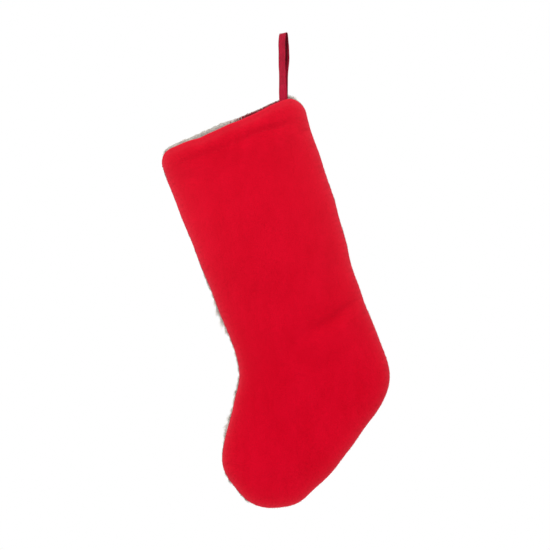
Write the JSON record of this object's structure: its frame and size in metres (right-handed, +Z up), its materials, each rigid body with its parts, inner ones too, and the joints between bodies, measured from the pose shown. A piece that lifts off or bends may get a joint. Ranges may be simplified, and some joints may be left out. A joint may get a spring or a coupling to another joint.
{
  "type": "hanging christmas stocking",
  "caption": "Lined Christmas stocking, plush back and short fur front, hung open mouth up by a ribbon loop to hold small gifts.",
  "frame": {"origin": "the point inside the top of the ribbon loop that bears on a hook", "axes": "+Z up, +X across the flat of the stocking from the toe side to the heel side, +Y from the plush back to the fur front"},
  "size_m": [0.277, 0.026, 0.5702],
  "materials": {
    "red_plush": "matte",
    "grey_fur": "matte",
    "lining": "satin",
    "ribbon": "satin",
    "thread": "matte"
  },
  "bodies": {
    "hook_end": {"hanging_loop": "ribbon"},
    "twisting_neck": {"loop_neck_upper": "ribbon"},
    "swaying_neck": {"loop_neck_lower": "ribbon"},
    "stocking": {"loop_ends": "ribbon", "loop_bartack": "thread", "back_panel": "red_plush", "front_panel": "grey_fur", "back_lining": "lining", "front_lining": "lining", "side_seam_thread": "thread", "back_hem_thread": "thread", "front_hem_thread": "thread"}
  },
  "joints": [
    {"name": "ribbon_twist", "type": "hinge", "parent": "hook_end", "child": "twisting_neck", "pos_m": [0, 0, -0.05], "axis": [0, 0, 1], "range_deg": [-75, 75]},
    {"name": "side_sway", "type": "hinge", "parent": "twisting_neck", "child": "swaying_neck", "pos_m": [0, 0, -0.057], "axis": [0, 1, 0], "range_deg": [-35, 35]},
    {"name": "front_back_swing", "type": "hinge", "parent": "swaying_neck", "child": "stocking", "pos_m": [0, 0, -0.065], "axis": [1, 0, 0], "range_deg": [-70, 70]}
  ]
}
